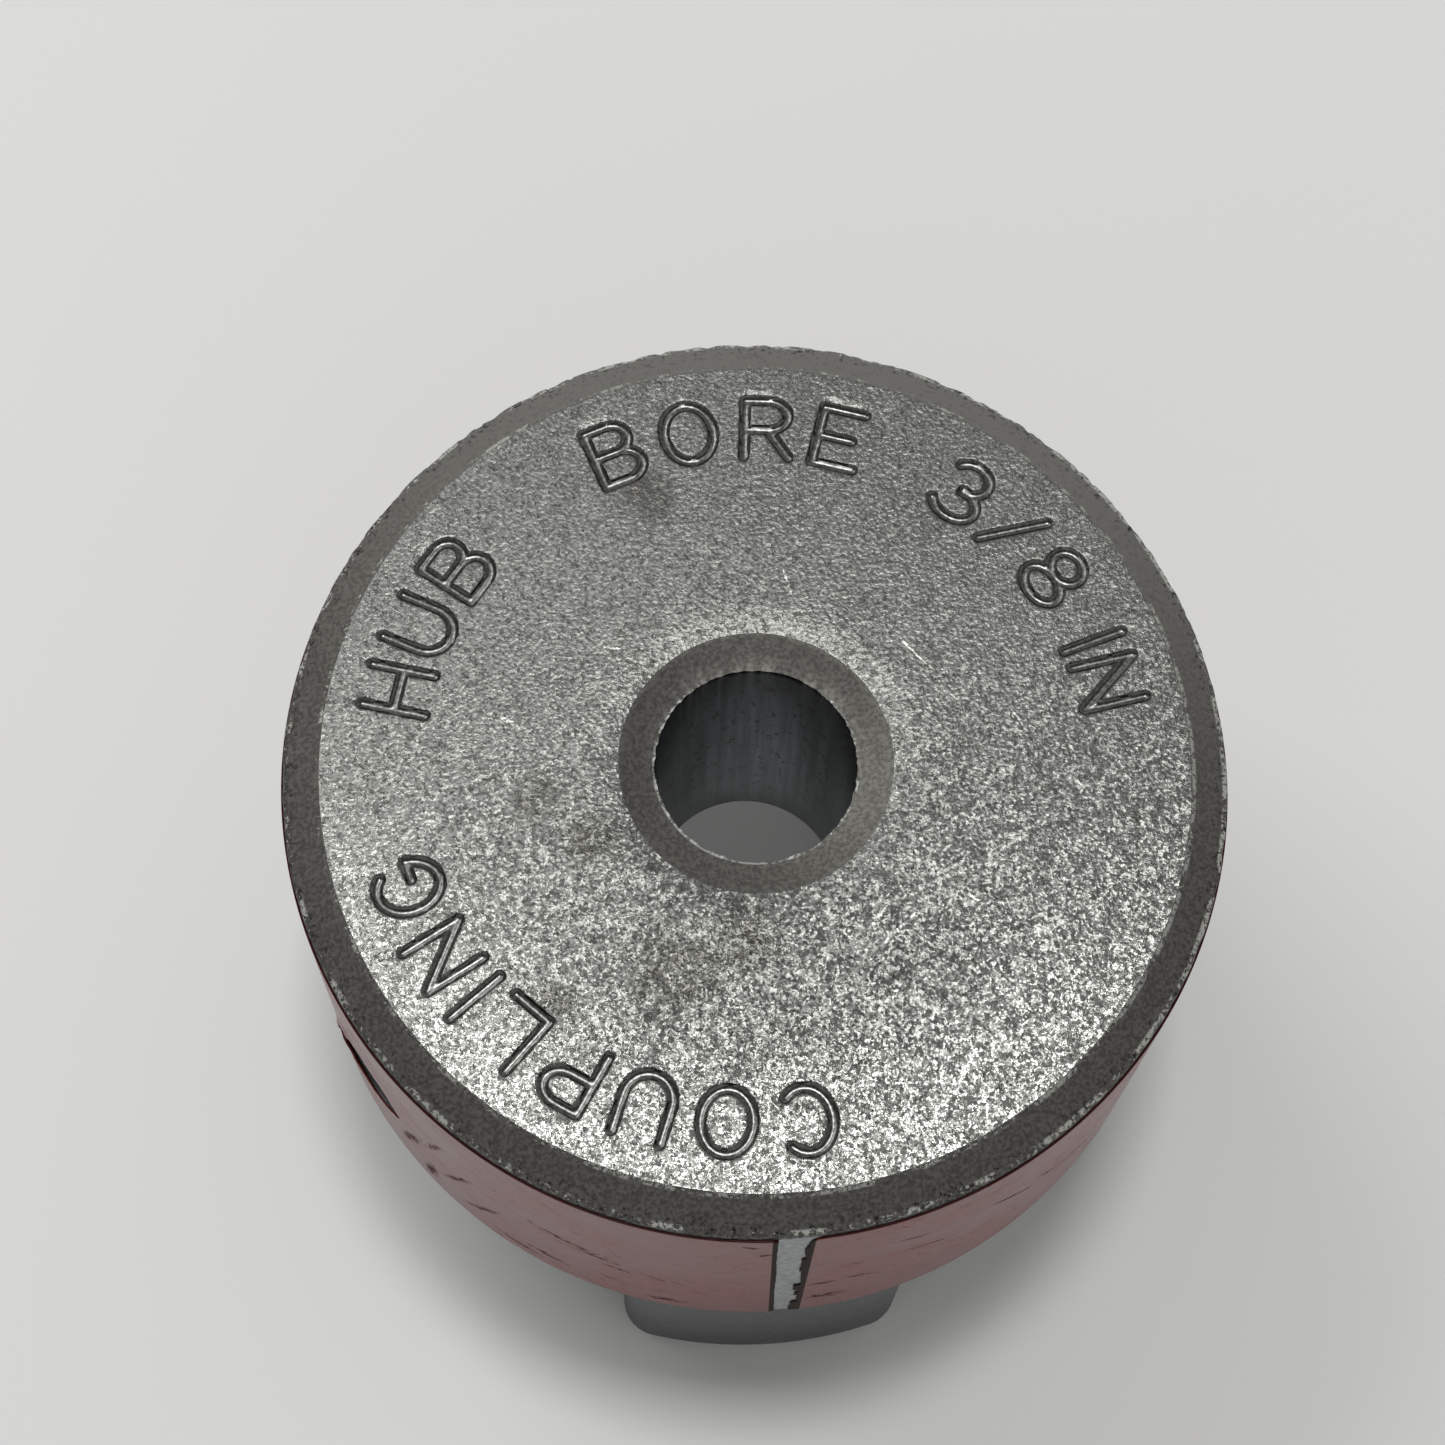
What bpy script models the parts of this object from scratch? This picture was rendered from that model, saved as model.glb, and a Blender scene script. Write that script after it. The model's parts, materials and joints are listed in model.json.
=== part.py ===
"""Jaw coupling hub: one half of a three-jaw shaft coupling, with its set screw and its label band.

The hub stands on the ends of its three jaws, back face up. The origin is on the bore's axis, level with
the jaw ends, and +Z runs up the bore. One jaw is centred on -Y. The set screw lies between two jaws, a
sixth of a turn from that one towards -X.
"""

import math

import bmesh
import bpy
from mathutils import Vector

MM = 0.001
INCH = 0.0254

# Hub, sintered iron
OUTSIDE_RADIUS = 1.75 * INCH / 2
BORE_RADIUS = 0.375 * INCH / 2
BODY_LENGTH = 20.6 * MM
JAW_LENGTH = 11.7 * MM
RIM_CHAMFER_WIDTH = 1.8 * MM
RIM_CHAMFER_HEIGHT = 0.85 * MM
BORE_CHAMFER_WIDTH = 1.68 * MM
BORE_CHAMFER_HEIGHT = 0.6 * MM
JAW_SIDE_CHAMFER = 0.8 * MM
BODY_LOWER_CHAMFER = 0.5 * MM

# Jaws: each flank is parallel to the middle of the spider leg beside it
JAWS = 3
FIRST_JAW_AZIMUTH = math.radians(270)
SPIDER_LEG_WIDTH = 6.4 * MM
JAW_NOSE_RADIUS = 1.5 * MM
JAW_CORNER_RADIUS = 1.9 * MM
JAW_END_RADIUS = 0.9 * MM
JAW_SETBACK = 0.03 * MM
JAW_ROOT_DEPTH = 2.0 * MM

# Set screw, 1/4-20 UNC by 3/8 inch, cup point, 1/8 inch hexagon socket
SCREW_RADIUS = 0.25 * INCH / 2
SCREW_LENGTH = 0.375 * INCH
SCREW_PITCH = INCH / 20
SOCKET_ACROSS_FLATS = 0.125 * INCH
SOCKET_DEPTH = 3.6 * MM
CUP_RADIUS = 1.55 * MM
CUP_DEPTH = 0.75 * MM
POINT_RADIUS = 2.0 * MM
SCREW_END_CHAMFER = 0.6 * MM
SCREW_CLEARANCE = 0.22 * MM
SHAFT_CLEARANCE = 0.05 * MM

# Label band, a thin sleeve wrapped round the body with a gap at its ends
LABEL_GAP = 0.15 * MM
LABEL_THICKNESS = 0.2 * MM
LABEL_TOP_MARGIN = 1.3 * MM
LABEL_BOTTOM_MARGIN = 0.65 * MM
LABEL_FIRST_END = math.radians(273.8)
LABEL_LAST_END = math.radians(270.3 + 360)
LABEL_HOLE_RADIUS = 3.8 * MM

# Fineness of round shapes
BODY_STEPS = 96
SCREW_STEPS = 32
JAW_ARC_STEPS = {"outer": 12, "corner": 6, "nose": 8, "end": 5}
SHARP_ANGLE = math.radians(21)

HEIGHT = JAW_LENGTH + BODY_LENGTH
SCREW_HEIGHT = JAW_LENGTH + 0.46 * BODY_LENGTH
SCREW_AZIMUTH = FIRST_JAW_AZIMUTH - math.pi / JAWS
SCREW_DIRECTION = Vector((math.cos(SCREW_AZIMUTH), math.sin(SCREW_AZIMUTH), 0))
SCREW_TIP_RADIUS = BORE_RADIUS + SHAFT_CLEARANCE + SCREW_PITCH


def clear_scene():
    for item in list(bpy.data.objects):
        bpy.data.objects.remove(item)


def material(name, colour, roughness, metallic):
    made = bpy.data.materials.new(name)
    made.use_nodes = True
    shader = made.node_tree.nodes["Principled BSDF"]
    shader.inputs["Base Color"].default_value = (*colour, 1)
    shader.inputs["Roughness"].default_value = roughness
    shader.inputs["Metallic"].default_value = metallic
    made.diffuse_color = (*colour, 1)
    return made


def finish(name, bm, surface=None):
    """Turns a bmesh into a smooth-shaded object with outward faces."""
    bmesh.ops.recalc_face_normals(bm, faces=bm.faces)
    mesh = bpy.data.meshes.new(name)
    bm.to_mesh(mesh)
    bm.free()
    mesh.shade_smooth()
    mesh.set_sharp_from_angle(angle=SHARP_ANGLE)
    made = bpy.data.objects.new(name, mesh)
    bpy.context.scene.collection.objects.link(made)
    if surface:
        mesh.materials.append(surface)
    return made


def as_tool(tool):
    tool.hide_render = True
    tool.display_type = "WIRE"
    return tool


def boolean(target, tool, operation):
    modifier = target.modifiers.new(f"{operation.lower()} {tool.name}", "BOOLEAN")
    modifier.operation = operation
    modifier.object = as_tool(tool)


def turned(name, profile, steps, surface=None, start=0.0, sweep=2 * math.pi):
    """Spins a closed profile of (radius, height) points about +Z, and caps the ends of a part turn."""
    bm = bmesh.new()
    points = [
        bm.verts.new((r * math.cos(start), r * math.sin(start), z)) for r, z in profile
    ]
    edges = [bm.edges.new((a, b)) for a, b in zip(points, points[1:] + points[:1])]
    whole = math.isclose(sweep, 2 * math.pi)
    bmesh.ops.spin(
        bm, geom=points + edges, axis=(0, 0, 1), angle=sweep, steps=steps, use_merge=whole
    )
    bmesh.ops.remove_doubles(bm, verts=bm.verts, dist=0.001 * MM)
    if not whole:
        open_edges = [edge for edge in bm.edges if edge.is_boundary]
        bmesh.ops.holes_fill(bm, edges=open_edges)
    return finish(name, bm, surface)


def arc(centre, radius, first, last, steps):
    """Points of an arc without its last one, which the next arc starts from."""
    turns = [first + (last - first) * i / steps for i in range(steps)]
    return [
        (centre[0] + radius * math.cos(t), centre[1] + radius * math.sin(t))
        for t in turns
    ]


def jaw_outline(inset):
    """Outline of a jaw, moved in by inset, as (outward, sideways) points.

    The outer face follows the hub's outside. Each flank is half a leg's width from the line through the
    bore's axis at 30 degrees to the jaw's own middle. A rounded nose joins the flanks on the inner side.
    """
    half_sector = math.pi / (2 * JAWS)
    half_leg = SPIDER_LEG_WIDTH / 2
    outer = OUTSIDE_RADIUS - JAW_SETBACK
    corner_reach = outer - JAW_CORNER_RADIUS
    corner_turn = half_sector - math.asin((half_leg + JAW_CORNER_RADIUS) / corner_reach)
    corner = (corner_reach * math.cos(corner_turn), corner_reach * math.sin(corner_turn))
    nose = ((half_leg + JAW_NOSE_RADIUS) / math.sin(half_sector), 0)
    flank = math.pi / 2 + half_sector
    whole = 2 * math.pi
    steps = JAW_ARC_STEPS
    corner_radius = JAW_CORNER_RADIUS - inset
    return (
        arc((0, 0), outer - inset, -corner_turn, corner_turn, steps["outer"])
        + arc(corner, corner_radius, corner_turn, flank, steps["corner"])
        + [flank_start(corner, corner_radius, flank)]
        + arc(nose, JAW_NOSE_RADIUS - inset, flank, whole - flank, steps["nose"])
        + [flank_start(nose, JAW_NOSE_RADIUS - inset, whole - flank)]
        + arc(
            (corner[0], -corner[1]),
            corner_radius,
            whole - flank,
            whole - corner_turn,
            steps["corner"],
        )
    )


def flank_start(centre, radius, turn):
    """The last point of an arc, where a straight flank begins."""
    return centre[0] + radius * math.cos(turn), centre[1] + radius * math.sin(turn)


def jaw(number):
    """A jaw with a rounded end, from its end up into the body."""
    azimuth = FIRST_JAW_AZIMUTH + number * 2 * math.pi / JAWS
    steps = JAW_ARC_STEPS["end"]
    turns = [math.pi / 2 * i / steps for i in range(steps + 1)]
    levels = [
        (JAW_END_RADIUS * (1 - math.sin(t)), JAW_END_RADIUS * (1 - math.cos(t)))
        for t in turns
    ]
    levels.append((0, JAW_LENGTH + JAW_ROOT_DEPTH))
    bm = bmesh.new()
    rings = []
    for inset, height in levels:
        ring = [bm.verts.new((x, y, height)) for x, y in jaw_outline(inset)]
        rings.append([bm.edges.new((a, b)) for a, b in zip(ring, ring[1:] + ring[:1])])
    for lower, upper in zip(rings, rings[1:]):
        bmesh.ops.bridge_loops(bm, edges=lower + upper)
    for ring in (rings[0], rings[-1]):
        bmesh.ops.edgeloop_fill(bm, edges=ring)
    made = finish(f"jaw_{number + 1}", bm)
    made.rotation_euler.z = azimuth
    return made


def radial_cutter(name, radius, start, end):
    """A cylinder along the set screw's axis, between two distances from the bore's axis."""
    bm = bmesh.new()
    bmesh.ops.create_cone(
        bm,
        cap_ends=True,
        segments=SCREW_STEPS,
        radius1=radius,
        radius2=radius,
        depth=end - start,
    )
    made = finish(name, bm)
    made.rotation_euler = SCREW_DIRECTION.to_track_quat("Z", "Y").to_euler()
    made.location = SCREW_DIRECTION * (start + end) / 2 + Vector((0, 0, SCREW_HEIGHT))
    return made


def hub(surface):
    """Body turned with its chamfers, three jaws joined on, and the set screw's hole cut through one side."""
    bore_mouth = BORE_RADIUS + BORE_CHAMFER_WIDTH
    profile = [
        (BORE_RADIUS, HEIGHT - BORE_CHAMFER_HEIGHT),
        (bore_mouth, HEIGHT),
        (OUTSIDE_RADIUS - RIM_CHAMFER_WIDTH, HEIGHT),
        (OUTSIDE_RADIUS, HEIGHT - RIM_CHAMFER_HEIGHT),
        (OUTSIDE_RADIUS, JAW_LENGTH + BODY_LOWER_CHAMFER),
        (OUTSIDE_RADIUS - BODY_LOWER_CHAMFER, JAW_LENGTH),
        (BORE_RADIUS + JAW_SIDE_CHAMFER, JAW_LENGTH),
        (BORE_RADIUS, JAW_LENGTH + JAW_SIDE_CHAMFER),
    ]
    body = turned("hub", profile, BODY_STEPS, surface)
    for number in range(JAWS):
        boolean(body, jaw(number), "UNION")
    hole = radial_cutter(
        "screw_hole", SCREW_RADIUS + SCREW_CLEARANCE, BORE_RADIUS / 2, 1.2 * OUTSIDE_RADIUS
    )
    boolean(body, hole, "DIFFERENCE")


def set_screw(surface):
    """Cup point screw along its own +Z, tip at its origin, laid on the axis that it slides along."""
    profile = [
        (0, CUP_DEPTH),
        (CUP_RADIUS, 0),
        (POINT_RADIUS, 0),
        (SCREW_RADIUS, SCREW_RADIUS - POINT_RADIUS),
        (SCREW_RADIUS, SCREW_LENGTH - SCREW_END_CHAMFER),
        (SCREW_RADIUS - SCREW_END_CHAMFER, SCREW_LENGTH),
        (0, SCREW_LENGTH),
    ]
    screw = turned("set_screw", profile, SCREW_STEPS, surface)
    bm = bmesh.new()
    corner_radius = SOCKET_ACROSS_FLATS / math.sqrt(3)
    bmesh.ops.create_cone(
        bm,
        cap_ends=True,
        segments=6,
        radius1=corner_radius,
        radius2=corner_radius,
        depth=2 * SOCKET_DEPTH,
    )
    socket = finish("socket", bm)
    socket.location.z = SCREW_LENGTH
    socket.parent = screw
    boolean(screw, socket, "DIFFERENCE")
    screw.rotation_euler = SCREW_DIRECTION.to_track_quat("Z", "Y").to_euler()
    screw.location = SCREW_DIRECTION * SCREW_TIP_RADIUS + Vector((0, 0, SCREW_HEIGHT))


def label_band(surface):
    """Thin sleeve round the body, open at the front where its ends don't meet, with a hole over the screw."""
    inner = OUTSIDE_RADIUS + LABEL_GAP
    outer = inner + LABEL_THICKNESS
    top = HEIGHT - LABEL_TOP_MARGIN
    bottom = JAW_LENGTH + LABEL_BOTTOM_MARGIN
    profile = [(inner, bottom), (outer, bottom), (outer, top), (inner, top)]
    band = turned(
        "label_band",
        profile,
        BODY_STEPS,
        surface,
        start=LABEL_FIRST_END,
        sweep=LABEL_LAST_END - LABEL_FIRST_END,
    )
    hole = radial_cutter(
        "label_hole", LABEL_HOLE_RADIUS, 0.9 * OUTSIDE_RADIUS, 1.2 * OUTSIDE_RADIUS
    )
    boolean(band, hole, "DIFFERENCE")


def main():
    clear_scene()
    hub(material("sintered_iron", (0.31, 0.31, 0.3), 0.42, 1.0))
    set_screw(material("black_oxide_steel", (0.05, 0.048, 0.045), 0.4, 1.0))
    label_band(material("red_label", (0.42, 0.12, 0.11), 0.3, 0.0))


main()
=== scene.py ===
# %% [markdown]
# # A jaw coupling hub
# This is one half of a shaft coupling: a round hub of sintered iron with three jaws, a set screw and a
# band of red film round its side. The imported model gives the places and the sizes, and this lesson makes
# the fine surfaces and their finishes. The hub stands on its jaws with its back face up.

import json
import math
from types import SimpleNamespace

import bmesh
import bpy
import numpy as np
from mathutils import Matrix, Vector

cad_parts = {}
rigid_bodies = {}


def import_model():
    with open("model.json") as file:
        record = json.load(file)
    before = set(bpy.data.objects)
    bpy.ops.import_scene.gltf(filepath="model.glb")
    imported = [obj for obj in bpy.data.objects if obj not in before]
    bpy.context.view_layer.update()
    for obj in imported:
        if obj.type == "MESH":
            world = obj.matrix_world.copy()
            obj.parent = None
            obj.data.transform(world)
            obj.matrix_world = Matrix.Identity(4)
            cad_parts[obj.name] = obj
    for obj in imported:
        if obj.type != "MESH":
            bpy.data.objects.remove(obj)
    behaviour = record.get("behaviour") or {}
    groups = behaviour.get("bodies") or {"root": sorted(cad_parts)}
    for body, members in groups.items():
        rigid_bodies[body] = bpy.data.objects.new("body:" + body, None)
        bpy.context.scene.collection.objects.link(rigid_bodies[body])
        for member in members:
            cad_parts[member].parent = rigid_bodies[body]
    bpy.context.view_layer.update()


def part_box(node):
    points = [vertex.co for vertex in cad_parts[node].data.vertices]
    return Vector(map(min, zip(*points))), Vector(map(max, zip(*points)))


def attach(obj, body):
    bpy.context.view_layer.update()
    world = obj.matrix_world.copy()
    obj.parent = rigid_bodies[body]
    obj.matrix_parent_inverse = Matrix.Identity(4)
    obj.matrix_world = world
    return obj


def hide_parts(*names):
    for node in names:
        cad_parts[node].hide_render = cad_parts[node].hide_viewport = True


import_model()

# %% [markdown]
# ## Sizes
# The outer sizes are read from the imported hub. The rest are this kind of hub's own: a 3/8 inch bore, its
# chamfers, and where the body ends and the jaws begin. Lengths are in metres, so a millimetre is written
# as a number times MM.

# %% Driving sizes
MM = 0.001
INCH = 0.0254
hub_low, hub_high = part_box("hub")
OUTSIDE = (hub_high.x - hub_low.x) / 2
HEIGHT = hub_high.z
JAW_LENGTH = 11.7 * MM
BORE = 0.375 * INCH / 2
RIM_WIDTH = 1.8 * MM
RIM_DROP = 0.85 * MM
MOUTH_WIDTH = 1.68 * MM
MOUTH_DROP = 0.6 * MM
FACE_EDGE = OUTSIDE - RIM_WIDTH
MOUTH = BORE + MOUTH_WIDTH
FRONT = math.radians(270)
print("hub:", round(2 * OUTSIDE / MM, 2), "mm across and", round(HEIGHT / MM, 2), "mm high")

# %% [markdown]
# ## Camera
# The camera looks down on the hub from close by, a little to the left of the front jaw, and is rolled a
# few degrees. Its place is worked out from a distance, an elevation and the point that it aims at, which
# lies on the plane of the back face.

# %% Camera
CAMERA_DISTANCE = 144.43 * MM
CAMERA_ELEVATION = math.radians(69.73)
CAMERA_AZIMUTH = math.radians(-6)
CAMERA_ROLL = math.radians(3.23)
CAMERA_AIM = Vector((-1.485 * MM, 2.01 * MM, HEIGHT))
CAMERA_LENS = 76.58

camera = bpy.data.objects.new("camera", bpy.data.cameras.new("camera"))
bpy.context.scene.collection.objects.link(camera)
over_floor = math.cos(CAMERA_ELEVATION)
sideways = math.sin(CAMERA_AZIMUTH) * over_floor
towards_front = -math.cos(CAMERA_AZIMUTH) * over_floor
backwards = Vector((sideways, towards_front, math.sin(CAMERA_ELEVATION)))
upright = backwards.to_track_quat("Z", "Y").to_matrix().to_4x4()
camera.matrix_world = (
    Matrix.Translation(CAMERA_AIM + backwards * CAMERA_DISTANCE)
    @ upright
    @ Matrix.Rotation(CAMERA_ROLL, 4, "Z")
)
camera.data.lens = CAMERA_LENS
camera.data.sensor_width = 36
camera.data.clip_start = 0.005
bpy.context.scene.camera = camera
print("camera at", [round(c / MM, 1) for c in camera.matrix_world.translation], "mm")

# %% [markdown]
# ## Surfaces as arrays
# Every new piece is a grid of points, worked out with numpy as whole arrays. A grid can close on itself
# along its columns, as a turned shape does, and along its rows too, as a ring does. One helper turns such
# a grid into a mesh and makes sure that its faces point outwards, by the sign of the volume they enclose.


# %% Mesh from a grid
def quads_of(rows, columns, ring):
    """Corner numbers of a grid's quads. Columns close on themselves, and with ring the rows do too."""
    row, column = np.meshgrid(
        np.arange(rows if ring else rows - 1), np.arange(columns), indexing="ij"
    )
    across = (column + 1) % columns
    down = (row + 1) % rows
    corners = [
        row * columns + column,
        row * columns + across,
        down * columns + across,
        down * columns + column,
    ]
    return np.stack(corners, -1).reshape(-1, 4)


def grid_mesh(name, points, ring=True):
    """Mesh of a grid of points (rows, columns, 3), facing outwards. Rows shrunk to a point are welded."""
    rows, columns = points.shape[:2]
    quads = quads_of(rows, columns, ring)
    corners = points.reshape(-1, 3)[quads]
    a, b, c, d = corners[:, 0], corners[:, 1], corners[:, 2], corners[:, 3]
    volume = (a * np.cross(b, c)).sum() + (a * np.cross(c, d)).sum()
    if volume < 0:
        quads = quads[:, ::-1]
    mesh = bpy.data.meshes.new(name)
    mesh.vertices.add(rows * columns)
    mesh.vertices.foreach_set("co", points.astype(np.float32).ravel())
    mesh.loops.add(quads.size)
    mesh.loops.foreach_set("vertex_index", quads.astype(np.int32).ravel())
    mesh.polygons.add(len(quads))
    mesh.polygons.foreach_set("loop_start", np.arange(0, quads.size, 4, dtype=np.int32))
    mesh.update(calc_edges=True)
    if not ring:
        weld(mesh)
    return mesh


def weld(mesh, distance=0.0001 * MM):
    """Joins points that lie together, such as a pole's."""
    bm = bmesh.new()
    bm.from_mesh(mesh)
    bmesh.ops.remove_doubles(bm, verts=bm.verts, dist=distance)
    bmesh.ops.dissolve_degenerate(bm, edges=bm.edges, dist=distance)
    bm.to_mesh(mesh)
    bm.free()


def place(name, mesh, sharp=40):
    """Puts a mesh in the scene as a piece, smooth but for edges sharper than an angle in degrees."""
    mesh.shade_smooth()
    mesh.set_sharp_from_angle(angle=math.radians(sharp))
    piece = bpy.data.objects.new(name, mesh)
    bpy.context.scene.collection.objects.link(piece)
    return piece


def boolean(piece, tool, operation):
    """Cuts a tool out of a piece, or joins it on, and removes the tool."""
    modifier = piece.modifiers.new(operation, "BOOLEAN")
    modifier.operation = operation
    modifier.object = tool
    evaluated = piece.evaluated_get(bpy.context.evaluated_depsgraph_get())
    result = bpy.data.meshes.new_from_object(evaluated)
    piece.modifiers.clear()
    piece.data = result
    bpy.data.objects.remove(tool)


def turned(profile, azimuths):
    """A profile of (radius, height) rows carried round +Z: x = r cos a, y = r sin a, z = height."""
    radius, height = np.asarray(profile, float).T
    return np.stack(
        [
            radius[:, None] * np.cos(azimuths),
            radius[:, None] * np.sin(azimuths),
            np.broadcast_to(height[:, None], (len(radius), len(azimuths))),
        ],
        -1,
    )


print("grid helpers ready")

# %% [markdown]
# ## Stamped words
# The back face of a hub like this is stamped by the press: each stroke is a groove with steep, smooth
# sides and a nearly flat bottom. A letter is a few straight strokes and arcs in a box two units wide and
# two high. Cutting them out with solids would leave ragged joints, so the depth is worked out for every
# point of the face from its distance to the nearest stroke.


# %% Letters as strokes
def line(*points):
    """A stroke of straight pieces through some points."""
    return np.array(points, float)


def bend(x, y, width, height, first, last, steps=16):
    """A stroke along an ellipse's arc: its middle plus width times the cosine, height times the sine."""
    turn = np.radians(np.linspace(first, last, steps + 1))
    return np.stack([x + width * np.cos(turn), y + height * np.sin(turn)], -1)


STEM = line((-0.85, -1), (-0.85, 1))
BOWL = [line((-0.85, 1), (0.1, 1)), bend(0.1, 0.48, 0.8, 0.52, 90, -90), line((0.1, -0.04), (-0.85, -0.04))]
LETTERS = {
    "C": [bend(0, 0, 1, 1, 48, 312, 24)],
    "O": [bend(0, 0, 1, 1, 0, 360, 28)],
    "U": [
        line((-0.95, 1), (-0.95, -0.2)),
        bend(0, -0.2, 0.95, 0.8, 180, 360),
        line((0.95, -0.2), (0.95, 1)),
    ],
    "P": [STEM, *BOWL],
    "L": [line((-0.8, 1), (-0.8, -1), (0.85, -1))],
    "I": [line((0, -1), (0, 1))],
    "N": [line((-0.9, -1), (-0.9, 1), (0.9, -1), (0.9, 1))],
    "G": [bend(0, 0, 1, 1, 48, 350, 26), line((1, -0.15), (0.25, -0.15))],
    "H": [STEM, line((0.85, -1), (0.85, 1)), line((-0.85, 0), (0.85, 0))],
    "B": [
        STEM,
        line((-0.85, 1), (0.15, 1)),
        bend(0.15, 0.52, 0.65, 0.48, 90, -90),
        line((-0.85, 0.04), (0.2, 0.04)),
        bend(0.2, -0.48, 0.75, 0.52, 90, -90),
        line((0.2, -1), (-0.85, -1)),
    ],
    "R": [STEM, *BOWL, line((0.1, -0.04), (0.95, -1))],
    "E": [line((0.85, 1), (-0.85, 1), (-0.85, -1), (0.85, -1)), line((-0.85, 0), (0.55, 0))],
    "3": [bend(-0.05, 0.48, 0.8, 0.52, 150, -90), bend(-0.05, -0.5, 0.95, 0.54, 90, -155)],
    "/": [line((-0.75, -1), (0.75, 1))],
    "8": [bend(0, 0.5, 0.72, 0.5, 0, 360, 20), bend(0, -0.5, 0.9, 0.5, 0, 360, 20)],
}
print(len(LETTERS), "letters")

# %% [markdown]
# The words run clockwise round the face with their tops outwards. Each entry gives the word, the azimuth
# of its middle in degrees and the gap between its letters. A letter's place follows from the widths of
# those before it, so that a narrow I takes no more room than it needs.

# %% Words round the face
LETTER_CENTRE = 17.2 * MM
LETTER_SIZE = np.array([1.2 * MM, 1.5 * MM])
STROKE_HALF_WIDTH = 0.27 * MM
STROKE_DEPTH = 0.19 * MM
STROKE_SLOPE = 1.7
WORDS = [("COUPLING", 236, 0.85), ("HUB", 154, 0.65), ("BORE", 92, 0.95), ("3/8 IN", 31, 0.55)]


def letter_width(letter):
    """Width of a letter's strokes, middle to middle. A space has none."""
    if letter == " ":
        return 0.5 * MM
    return np.ptp(np.concatenate(LETTERS[letter])[:, 0]) * LETTER_SIZE[0]


def letter_places(word, middle, gap):
    """(letter, azimuth) of a word's letters, from their widths and gaps along the circle of centres."""
    widths = np.array([letter_width(letter) + gap * MM + 2 * STROKE_HALF_WIDTH for letter in word])
    along = np.cumsum(widths) - widths / 2 - widths.sum() / 2
    azimuths = math.radians(middle) - along / LETTER_CENTRE
    return [(letter, azimuth) for letter, azimuth in zip(word, azimuths) if letter != " "]


PLACES = [letter_place for word in WORDS for letter_place in letter_places(*word)]
LETTER_AZIMUTHS = np.degrees([azimuth for _, azimuth in PLACES])


def distance_to_strokes(points, strokes):
    """Distance from each point to the nearest stroke. Along a straight piece, the point's share of the
    way is clipped to 0..1, and the distance is to the place at that share."""
    starts = np.concatenate([stroke[:-1] for stroke in strokes]) * LETTER_SIZE
    runs = np.concatenate([np.diff(stroke, axis=0) for stroke in strokes]) * LETTER_SIZE
    away = points[:, None] - starts
    share = np.clip((away * runs).sum(-1) / (runs**2).sum(-1), 0, 1)
    return np.linalg.norm(away - share[..., None] * runs, axis=-1).min(-1)


def stroke_distance(x, y):
    """Distance from each point of the face to the nearest stroke of any letter, or 1 mm far from all."""
    found = np.full(x.shape, 1 * MM)
    for letter, azimuth in PLACES:
        outward = x * math.cos(azimuth) + y * math.sin(azimuth) - LETTER_CENTRE
        sideways = x * math.sin(azimuth) - y * math.cos(azimuth)
        near = (np.abs(outward) < 2.2 * MM) & (np.abs(sideways) < 1.9 * MM)
        points = np.stack([sideways[near], outward[near]], -1)
        found[near] = np.minimum(found[near], distance_to_strokes(points, LETTERS[letter]))
    return found


def groove_depth(gap):
    """Depth at a distance from a stroke's middle: the smaller of the wall, slope * (half width - gap),
    and a nearly flat bottom, stroke depth - gap / 4, eased off to nothing at the lips."""
    lip = 0.015 * MM
    depth = np.minimum(STROKE_SLOPE * (STROKE_HALF_WIDTH - gap), STROKE_DEPTH - 0.25 * gap)
    return (depth + np.sqrt(depth**2 + lip**2)) / 2 * (gap < 2 * STROKE_HALF_WIDTH)


print("letters at", LETTER_AZIMUTHS.round(1).tolist())

# %% [markdown]
# ## Hub body
# The body is one profile carried round the bore's axis: up the bore, over its chamfer, out across the back
# face, over the rim's chamfer, down the side and back along the underside. Points lie close together
# where there are letters. The rim and the bore's mouth are hard edges that get knocked in use, so a sum
# of small random dents pushes them in.

# %% Body
DENTS = np.random.default_rng(11)


def body_azimuths(fine=0.28, coarse=0.5, reach=5.2):
    """Azimuths of the columns: fine steps within reach of a letter, coarse ones between, in degrees."""
    steps = [0.0]
    while steps[-1] < 360:
        off = np.abs((steps[-1] - LETTER_AZIMUTHS + 180) % 360 - 180).min()
        steps.append(steps[-1] + (fine if off < reach else coarse))
    return np.radians(np.array(steps[:-1]))


def dents(azimuths, count, widths, depths):
    """At each azimuth the deepest of count bell shapes of random place, width and depth."""
    centre = DENTS.uniform(0, 2 * math.pi, count)
    width = DENTS.uniform(*widths, count)
    depth = DENTS.uniform(*depths, count)
    turn = (azimuths[:, None] - centre + math.pi) % (2 * math.pi) - math.pi
    return (depth * np.exp(-((turn / width) ** 2))).max(-1)


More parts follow.
